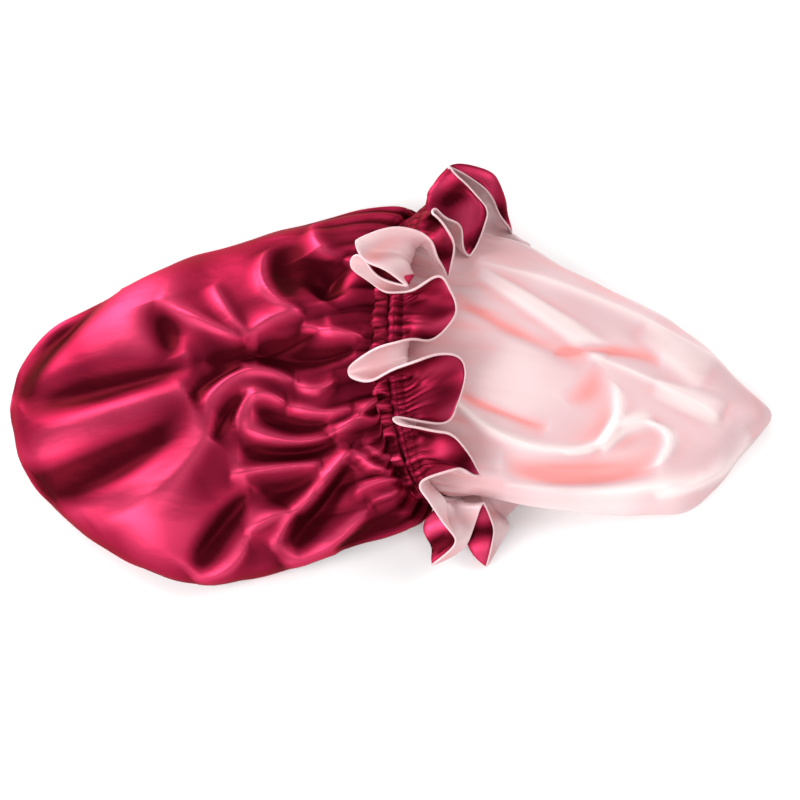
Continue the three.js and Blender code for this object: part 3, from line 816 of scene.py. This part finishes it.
@dataclass
class Frill:
    """One layer of the frill, from its gathered root at the casing to its turned hem."""

    side: Side
    name: str
    slot: str
    wall: float = 0.45
    layer_gap: float = 0.9
    root_gap: float = 1.2
    spring: float = 12.0
    lead_back: float = 5.4
    lead_lift: float = 2.4
    lead_gather: float = 1.3
    lead_rows: int = 7
    depth: float = 40.0
    reach: float = 46.0
    steps_per_turn: int = 13
    rows: int = 28
    gather_depth: float = 2.0
    gather_fade: float = 1.7
    creases: int = 46
    crease_depth: float = 0.9
    crease_level: float = 0.7
    ripple_depth: float = 1.3
    ripple_length: float = 26.0
    # Painted light: how widely creases are measured for it, the painted shade at the wine layer's root, and
    # the pink layer's share.
    painted_light_rounds: int = 20
    root_shade: float = 0.4
    pink_painted_light: float = 0.3
    hem_radius: float = 0.6
    hem_return: float = 0.4
    hem_step: float = 0.4
    hem_rows: int = 8
    return_rows: int = 4
    cut_length: float = 850.0
    cut_depth: float = 37.0
    seed: int = 71

    def hems(self) -> tuple[Array, Array, Array]:
        """The hem's turns: their roots' angles in radians, their places, and how the cloth swells."""
        seen = np.array(SEEN_TURNS, dtype=float)
        roots = self.roots(RING.frames(np.radians(seen[:, 0])))
        right = (seen[:, 1] - VIEW.middle_u) * VIEW.millimetres_per_pixel
        up = (VIEW.middle_v - seen[:, 2]) * VIEW.millimetres_per_pixel
        step = np.zeros_like(roots)
        step[:, 0] = right - roots[:, 0]
        step += (up - roots @ VIEW.up())[:, None] * VIEW.up() + seen[:, 3:4] * VIEW.to_viewer()
        length = np.linalg.norm(step, axis=1, keepdims=True)
        seen_hems = roots + step * np.minimum(1.0, self.reach / length)
        swells = seen[:, 4:5] * np.array([1.0, 0.0, 0.0]) - seen[:, 5:] * VIEW.up()
        swells *= VIEW.millimetres_per_pixel
        hidden = np.array(HIDDEN_TURNS, dtype=float)
        frames = RING.frames(np.radians(hidden[:, 0]))
        sweep = np.radians(hidden[:, 2:3])
        hidden_hems = self.roots(frames) + hidden[:, 3:] * (
            frames.flared(hidden[:, 1]) * np.cos(sweep) + frames.tangent * np.sin(sweep))
        angles = np.radians(np.concatenate([seen[:, 0], hidden[:, 0]]))
        swells = np.concatenate([swells, np.zeros_like(hidden_hems)])
        return angles, np.concatenate([seen_hems, hidden_hems]), swells

    def angles(self) -> Array:
        """The columns' root angles: the turns' own, with the same number of steps between each two."""
        angles = self.hems()[0]
        wrapped = np.append(angles, angles[0] + 2 * np.pi)
        places = np.arange(len(angles) * self.steps_per_turn) / self.steps_per_turn
        return np.interp(places, np.arange(len(wrapped)), wrapped)

    def roots(self, frames: RingFrames) -> Array:
        """Where the frill leaves the casing."""
        return frames.place + frames.forward * (RING.casing_width + self.root_gap)

    def middle_surface(self) -> tuple[Array, Array, Array, Array]:
        """The surface between the layers: quadratic curves from the root, past the spring, to the hem.

        A swell is added as 6.75 t² (1 - t), which is 1 at its fullest, two thirds of the way to the hem.

        Returns:
            The grid from root to hem, its normals on the wine side, its places on the flat strip and its
            painted light from -1 for painted shade to 1 for a painted highlight.
        """
        hems, swells = self.hems()[1:]
        places = np.arange(len(hems) * self.steps_per_turn) / self.steps_per_turn
        angle = self.angles()
        frames = RING.frames(angle)
        root = self.roots(frames)
        spring = root + frames.forward * self.spring
        hem = catmull_rom(hems, places, closed=True)
        t = np.linspace(0, 1, self.rows)[:, None, None]
        grid = root * (1 - t) ** 2 + spring * 2 * t * (1 - t) + hem * t**2
        grid = grid + catmull_rom(swells, places, closed=True) * 6.75 * t**2 * (1 - t)
        normals = grid_normals(grid)
        normals *= np.sign(np.sum(normals[0] * frames.across))
        turn = RING.turn(angle)[None]
        fade = (1 - t[..., 0]) ** self.gather_fade
        gather = puckers(turn, 2.5 * t[..., 0]) - PUCKER_LEVEL
        creases = np.abs(np.cos(self.creases / 2 * turn + 3.0 * np.sin(3 * turn) + 0.8 * t[..., 0]))
        move = self.gather_depth * gather * fade
        move = move + self.crease_depth * (creases**0.5 - self.crease_level) * ramp(1 - t[..., 0], 0.1, 0.8)
        uneven = ripples(grid, self.ripple_length, self.seed) * ramp(t[..., 0], 0.1, 0.6)
        move = move + self.ripple_depth * uneven
        grid = grid + normals * move[..., None]
        along = np.linspace(0, self.cut_length, len(angle) + 1)
        flat = np.stack(np.broadcast_arrays(along[None], t[..., 0] * self.depth), axis=-1)
        final = grid_normals(grid)
        # Painted light for the colour: painted shade in the gathers' hollows and creases, a painted
        # highlight on their ridges. The wine layer gets more painted shade towards the root; the pink layer,
        # the sheet's other face, gets a weaker copy turned over.
        local = move - smoothed(move, self.painted_light_rounds)
        painted_light = fade * (1.4 * gather - 0.5) + 0.8 * local + 0.5 * uneven
        if self.side is Side.WINE:
            painted_light = painted_light - self.root_shade * fade
        else:
            painted_light = -self.pink_painted_light * painted_light
        painted_light = np.clip(painted_light, -1, 1)
        return grid, final * np.sign(np.sum(normals * final)), flat, painted_light

    def with_lead(self, layer: Array, flat: Array, painted_light: Array) -> tuple[Array, Array, Array]:
        """Add rows before the root, where the layer laps over the casing's face that it is sewn to.

        Args:
            layer: the layer's grid from root to hem.
            flat: its places on the flat strip.
            painted_light: its painted shade and painted highlight.

        Returns:
            The three with the rows added, which leave the lap level and then fall to the root.
        """
        frames = RING.frames(self.angles())
        lap = frames.place + frames.forward * (RING.casing_width + self.root_gap - self.lead_back)
        gather = self.lead_gather * (puckers(RING.turn(self.angles())) - PUCKER_LEVEL)
        lap = lap + frames.across * (self.lead_lift * self.side.value + gather)[:, None]
        share = (np.arange(self.lead_rows) / self.lead_rows)[:, None, None]
        fall = share**2
        along = lap + (layer[0] - lap) * share
        lift = frames.across * np.sum((layer[0] - lap) * frames.across, axis=-1, keepdims=True)
        rows = along + lift * (fall - share)
        lead_flat = np.repeat(flat[:1], self.lead_rows, axis=0)
        lead_flat[..., 1] -= (1 - share[..., 0]) * self.lead_back
        lead_painted_light = np.repeat(painted_light[:1], self.lead_rows, axis=0)
        return (np.concatenate([rows, layer]), np.concatenate([lead_flat, flat]),
                np.concatenate([lead_painted_light, painted_light]))

    def rolled_hem(self, grid: Array, normals: Array) -> Array:
        """The pink layer's turned edge: half a circle over the hem, then a short way back."""
        out = unit(grid[-1] - grid[-2])
        normal = normals[-1]
        centre = grid[-1] + normal * (self.hem_radius - self.layer_gap / 2)
        bend = np.linspace(0, np.pi, self.hem_rows)[1:, None, None]
        arc = centre + self.hem_radius * (out * np.sin(bend) - normal * np.cos(bend))
        back = np.linspace(0, self.hem_return, self.return_rows)[1:, None, None]
        return np.concatenate([arc, arc[-1:] - out * back])

    def build(self, finish: "Satin") -> bpy.types.Object:
        """Make one layer, dress it, hang it on the root body and hide the plain part."""
        grid, normals, flat, painted_light = self.middle_surface()
        layer = grid + normals * self.side.value * self.layer_gap / 2
        layer, flat, painted_light = self.with_lead(layer, flat, painted_light)
        if self.side is Side.PINK:
            hem = self.rolled_hem(grid, normals)
            layer = np.concatenate([layer, hem])
            steps = np.arange(1, len(hem) + 1)[:, None, None]
            extra = flat[-1:] + np.array([0.0, 1.0]) * steps * self.hem_step
            flat = np.concatenate([flat, extra])
            painted_light = np.concatenate([painted_light, np.zeros(hem.shape[:2])])
        piece = Cloth.mesh(self.name + "_cloth", layer, flat, painted_light)
        Cloth.thicken(piece, self.wall, 0.0)
        piece.data.materials.append(finish.material())
        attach(piece, "root")
        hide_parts(self.name)
        return piece


class Socket:
    """A value in a material. Sums and products of it add Math nodes."""

    def __init__(self, nodes: "Nodes", link: bpy.types.NodeSocket) -> None:
        """Keep the node tree and the output that holds the value."""
        self.nodes = nodes
        self.link = link

    def __add__(self, other: "Socket | float") -> "Socket":
        """Their sum."""
        return self.nodes.math("ADD", self, other)

    def __radd__(self, other: float) -> "Socket":
        """Their sum."""
        return self.nodes.math("ADD", other, self)

    def __sub__(self, other: "Socket | float") -> "Socket":
        """Their difference."""
        return self.nodes.math("SUBTRACT", self, other)

    def __rsub__(self, other: float) -> "Socket":
        """Their difference."""
        return self.nodes.math("SUBTRACT", other, self)

    def __mul__(self, other: "Socket | float") -> "Socket":
        """Their product."""
        return self.nodes.math("MULTIPLY", self, other)

    def __rmul__(self, other: float) -> "Socket":
        """Their product."""
        return self.nodes.math("MULTIPLY", other, self)


class Nodes:
    """The node tree of one material."""

    def __init__(self, material: bpy.types.Material) -> None:
        """Empty the tree of a material and keep it."""
        material.use_nodes = True
        self.tree = material.node_tree
        self.tree.nodes.clear()

    def add(self, kind: str, settings: dict[str, Any], inputs: dict[Any, Any]) -> bpy.types.Node:
        """Add one node.

        Args:
            kind: the node's type.
            settings: its properties, set before its sockets.
            inputs: values or links for its sockets, by name or number.

        Returns:
            The node.
        """
        node = self.tree.nodes.new(kind)
        for key, value in settings.items():
            setattr(node, key, value)
        for key, value in inputs.items():
            if isinstance(value, Socket):
                self.tree.links.new(value.link, node.inputs[key])
            else:
                node.inputs[key].default_value = value
        return node

    def out(self, node: bpy.types.Node, output: Any = 0) -> Socket:
        """One output of a node, ready for expressions."""
        return Socket(self, node.outputs[output])

    def math(self, operation: str, first: Any, second: Any) -> Socket:
        """A Math node on two values."""
        return self.out(self.add("ShaderNodeMath", {"operation": operation}, {0: first, 1: second}))

    def noise(self, place: Socket, scale: float, detail: float = 2.0, roughness: float = 0.5) -> Socket:
        """Noise from 0 to 1 at a place."""
        inputs = {"Vector": place, "Scale": scale, "Detail": detail, "Roughness": roughness}
        return self.out(self.add("ShaderNodeTexNoise", {"noise_dimensions": "3D"}, inputs), "Fac")

    def mix(self, factor: Socket, first: "Socket | tuple", second: "Socket | tuple") -> Socket:
        """A colour between two others, at the Mix node's own colour sockets, 6 and 7, and output 2."""
        settings = {"data_type": "RGBA"}
        return self.out(self.add("ShaderNodeMix", settings, {0: factor, 6: first, 7: second}), 2)

    def stretched(self, place: Socket, scale: tuple[float, float, float]) -> Socket:
        """A place with its axes scaled."""
        node = self.add("ShaderNodeMapping", {"vector_type": "POINT"}, {"Vector": place, "Scale": scale})
        return self.out(node)


def linear(red: int, green: int, blue: int) -> tuple[float, float, float, float]:
    """A screen colour from 0 to 255 as linear light."""
    values = np.array([red, green, blue]) / 255
    light = np.where(values <= 0.04045, values / 12.92, ((values + 0.055) / 1.055) ** 2.4)
    return (float(light[0]), float(light[1]), float(light[2]), 1.0)


@dataclass(frozen=True)
class Satin:
    """A satin finish: coloured gloss, fine threads, soft crinkles and uneven dye, with painted shade in the
    folds and a painted highlight on the ridges.
    """

    name: str
    # color and shade are two tones of the dye, mixed at random; the next two colours are painted shade for
    # the folds and a painted highlight for the ridges.
    color: tuple[int, int, int]
    shade: tuple[int, int, int]
    painted_shade: tuple[int, int, int]
    painted_highlight: tuple[int, int, int]
    metallic: float
    roughness: float
    roughness_spread: float
    crinkle: float
    thread: float
    specular: float = 0.2
    edge: tuple[int, int, int] = (255, 255, 255)
    dye_scale: float = 14.0
    gloss_scale: float = 36.0
    crease_scale: float = 55.0
    crease_stretch: tuple[float, float, float] = (1.0, 2.2, 1.6)
    warp_scale: tuple[float, float, float] = (160.0, 2600.0, 1.0)
    weft_scale: tuple[float, float, float] = (2600.0, 420.0, 1.0)

    def material(self) -> bpy.types.Material:
        """Build the material, or return it where it has been built."""
        if self.name in bpy.data.materials:
            return bpy.data.materials[self.name]
        material = bpy.data.materials.new(self.name)
        nodes = Nodes(material)
        where = nodes.add("ShaderNodeTexCoord", {}, {})
        place, cut = nodes.out(where, "Object"), nodes.out(where, "UV")
        dye = nodes.noise(place, self.dye_scale, 3.0)
        # Painted shade and painted highlight: the mesh attribute mixes the dyed cloth towards the
        # painted-shade colour in folds and the painted-highlight colour on ridges.
        painted_light = nodes.out(nodes.add("ShaderNodeAttribute", {"attribute_name": "painted_light"}, {}), "Fac")
        surface = nodes.mix(dye, linear(*self.color), linear(*self.shade))
        color = nodes.mix(painted_light, nodes.mix(-1.0 * painted_light, surface, linear(*self.painted_shade)), linear(*self.painted_highlight))
        gloss = nodes.noise(place, self.gloss_scale, 2.0)
        rough = (gloss - 0.5) * self.roughness_spread + self.roughness
        crease = nodes.noise(nodes.stretched(place, self.crease_stretch), self.crease_scale, 2.5, 0.45)
        warp = nodes.noise(nodes.stretched(cut, self.warp_scale), 1.0, 1.0)
        weft = nodes.noise(nodes.stretched(cut, self.weft_scale), 1.0, 1.0)
        texture = crease * self.crinkle + (warp * 0.7 + weft * 0.3) * self.thread
        bump = nodes.add("ShaderNodeBump", {}, {"Height": texture, "Distance": 0.001, "Strength": 1.0})
        shader = nodes.add("ShaderNodeBsdfPrincipled", {}, {
            "Base Color": color,
            "Roughness": rough,
            "Metallic": self.metallic,
            "Specular IOR Level": self.specular,
            "Specular Tint": linear(*self.edge),
            "Normal": nodes.out(bump),
        })
        nodes.add("ShaderNodeOutputMaterial", {}, {"Surface": nodes.out(shader)})
        return material


WINE = Satin(
    name="wine_cloth", color=(148, 30, 60), shade=(136, 24, 52), painted_shade=(68, 7, 18), painted_highlight=(194, 56, 92),
    metallic=0.7, roughness=0.44, roughness_spread=0.08, crinkle=0.5, thread=0.004, specular=0.1,
    edge=(214, 70, 112))
# A darker copy of the wine satin for the casing: painted shade for its crowded gathers.
SHADED_WINE = Satin(
    name="wine_cloth_painted_shade", color=(112, 16, 40), shade=(98, 13, 34), painted_shade=(54, 2, 13), painted_highlight=(160, 36, 70),
    metallic=0.7, roughness=0.44, roughness_spread=0.08, crinkle=0.4, thread=0.004, specular=0.1,
    edge=(200, 60, 100))
PINK = Satin(
    name="pink_cloth", color=(216, 184, 187), shade=(211, 175, 179), painted_shade=(226, 144, 142),
    painted_highlight=(232, 210, 209), metallic=0.12, roughness=0.42, roughness_spread=0.08, crinkle=0.5,
    thread=0.004)


@dataclass(frozen=True)
class AreaLight:
    """One soft studio light: the way it comes from, its distance, size and power."""

    name: str
    towards: tuple[float, float, float]
    distance: float
    size: float
    power: float

    def build(self) -> None:
        """Place the light, facing the object."""
        data = bpy.data.lights.new(self.name, "AREA")
        data.size = self.size
        data.energy = self.power
        light = bpy.data.objects.new(self.name, data)
        direction = unit(np.array(self.towards))
        light.location = (direction * self.distance).tolist()
        light.rotation_euler = look_along(-direction)
        bpy.context.scene.collection.objects.link(light)


def look_along(direction: Array) -> tuple[float, float, float]:
    """The turn that points a light's or camera's -Z along a direction, with its top kept up."""
    x, y, z = unit(direction)
    return (float(np.arccos(np.clip(-z, -1, 1))), 0.0, float(np.arctan2(-x, y)))


@dataclass(frozen=True)
class Studio:
    """The floor, the lights, the dim surroundings and the camera."""

    floor_size: float = 12.0
    floor_color: float = 0.93
    surroundings: float = 0.3
    lights: tuple[AreaLight, ...] = (
        AreaLight("key", (-0.60, 0.78, 0.38), 2.4, 1.7, 71.0),
        AreaLight("near", (-0.64, -0.54, 0.46), 2.6, 2.0, 76.0),
        AreaLight("side", (0.85, 0.30, 0.80), 2.6, 1.6, 30.0),
        AreaLight("front", (0.15, -0.70, 0.70), 2.6, 1.6, 23.0),
    )

    def build(self) -> None:
        """Make the studio."""
        self.build_floor()
        for light in self.lights:
            light.build()
        world = bpy.data.worlds.new("surroundings")
        world.use_nodes = True
        background = world.node_tree.nodes["Background"]
        background.inputs["Color"].default_value = (1.0, 1.0, 1.0, 1.0)
        background.inputs["Strength"].default_value = self.surroundings
        bpy.context.scene.world = world
        bpy.context.scene.view_settings.view_transform = "Standard"
        self.build_camera()

    def build_floor(self) -> None:
        """A plain pale floor at the table's height."""
        half = self.floor_size / 2
        mesh = bpy.data.meshes.new("floor")
        corners = [(-half, -half, 0), (half, -half, 0), (half, half, 0), (-half, half, 0)]
        mesh.from_pydata(corners, [], [(0, 1, 2, 3)])
        floor = bpy.data.objects.new("floor", mesh)
        bpy.context.scene.collection.objects.link(floor)
        material = bpy.data.materials.new("pale_floor")
        nodes = Nodes(material)
        shader = nodes.add("ShaderNodeBsdfPrincipled", {}, {
            "Base Color": (self.floor_color, self.floor_color, self.floor_color, 1.0),
            "Roughness": 0.9,
            "Specular IOR Level": 0.1,
        })
        nodes.add("ShaderNodeOutputMaterial", {}, {"Surface": nodes.out(shader)})
        mesh.materials.append(material)

    def build_camera(self) -> None:
        """A long lens at the photograph's angle, aimed at the point in the middle of its picture."""
        data = bpy.data.cameras.new("camera")
        data.lens = VIEW.lens
        data.sensor_width = VIEW.sensor
        data.clip_end = 50.0
        data.dof.use_dof = False
        right = (VIEW.picture_middle - VIEW.middle_u) * VIEW.millimetres_per_pixel
        up = (VIEW.middle_v - VIEW.picture_middle) * VIEW.millimetres_per_pixel
        aim = (np.array([right, 0.0, 0.0]) + VIEW.up() * up + SHIFT) * METRES
        camera = bpy.data.objects.new("camera", data)
        camera.location = (aim + VIEW.to_viewer() * VIEW.distance()).tolist()
        camera.rotation_euler = look_along(-VIEW.to_viewer())
        bpy.context.scene.collection.objects.link(camera)
        bpy.context.scene.camera = camera


def main() -> None:
    """Build the studio and the bonnet's pieces."""
    logging.basicConfig(level=logging.INFO, format="%(name)s: %(message)s")
    Studio().build()
    pieces = [
        WineCrown("outer_crown", "wine_satin", WINE_SECTIONS, WINE_FOLDS, WINE_GATHERS,
                  cut_radius=232.0, seed=3).build(WINE),
        PinkCrown("lining_crown", "pink_satin", PINK_SECTIONS, PINK_FOLDS, PINK_GATHERS,
                  cut_radius=176.0, seed=5, fold_scale=0.62, painted_light_height=3.2,
                  mouth_shade=0.3).build(PINK),
        Casing().build(SHADED_WINE),
        Frill(Side.WINE, "outer_frill", "wine_satin").build(WINE),
        Frill(Side.PINK, "lining_frill", "pink_satin").build(PINK),
    ]
    for piece in pieces:
        area = sum(face.area for face in piece.data.polygons)
        LOG.info("%s: %d faces, %.4f square metres", piece.name, len(piece.data.polygons), area)


if __name__ == "__main__":
    main()
